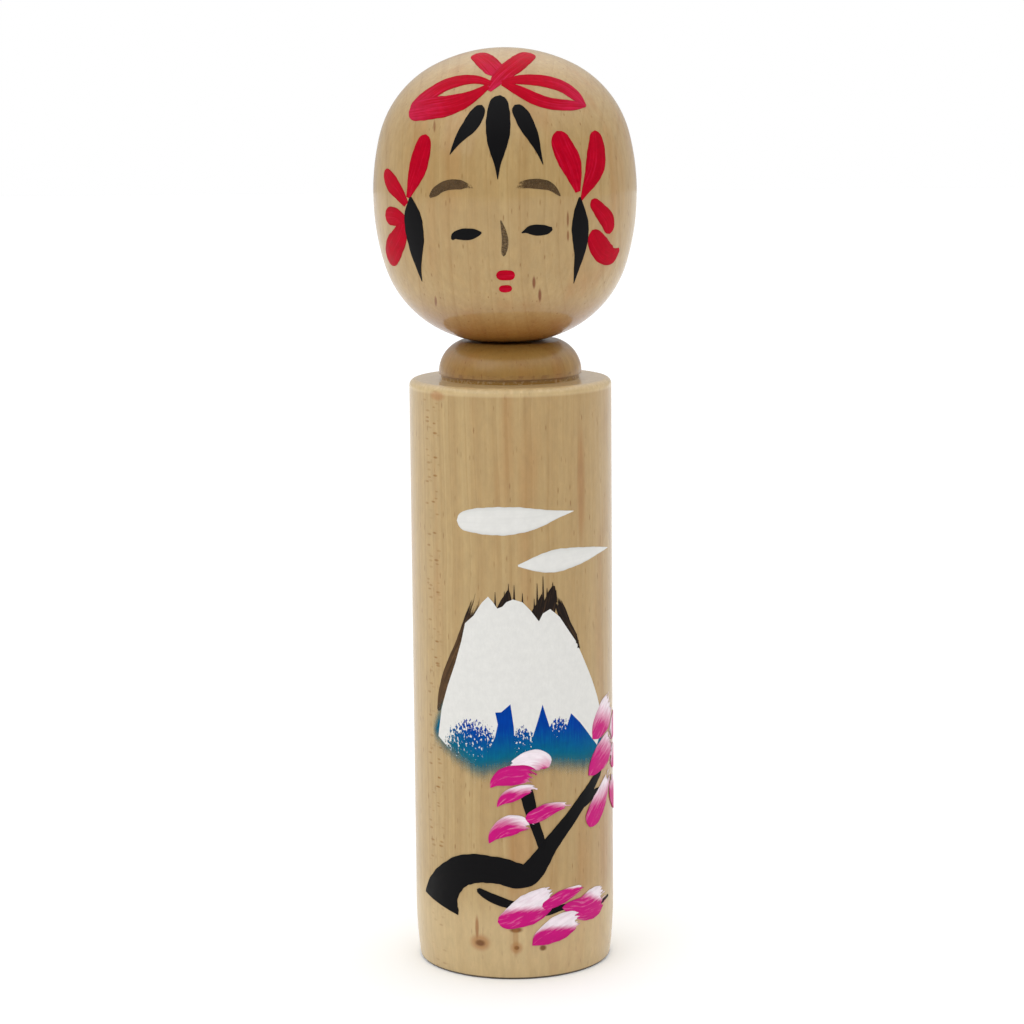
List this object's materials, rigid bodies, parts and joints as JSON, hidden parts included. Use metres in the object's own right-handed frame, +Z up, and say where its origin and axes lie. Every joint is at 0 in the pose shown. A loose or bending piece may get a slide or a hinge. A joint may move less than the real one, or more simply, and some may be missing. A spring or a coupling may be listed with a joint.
{
  "type": "kokeshi doll",
  "caption": "Turned wooden kokeshi doll: painted cylindrical body, half-round neck ring and an oval head that turns on a captive peg.",
  "frame": {"origin": "on the floor, at the middle of the body's resting face", "axes": "+Z up along the body's turned axis, -Y the way the face looks, +X to the viewer's right"},
  "size_m": [0.0516, 0.0516, 0.182],
  "materials": {
    "body_wood": "clear satin varnish",
    "collar_wood": "clear satin varnish",
    "head_wood": "clear satin varnish",
    "peg_wood": "bare, waxed",
    "crimson_paint": "brushed crimson doll paint under thin varnish",
    "black_paint": "brushed black doll paint under thin varnish",
    "umber_paint": "dry-brushed umber paint",
    "white_paint": "white gouache, nearly matt",
    "blue_paint": "thin blue wash",
    "blossom_paint": "magenta paint tipped with white"
  },
  "bodies": {
    "trunk": {"body": "body_wood", "neck_collar": "collar_wood"},
    "turning_head": {"head": "head_wood", "neck_peg": "peg_wood"}
  },
  "joints": [
    {"name": "head_turn", "type": "hinge", "parent": "trunk", "child": "turning_head", "pos_m": [-0.0007, 0, 0.1251], "axis": [0, 0, 1], "continuous": true}
  ]
}
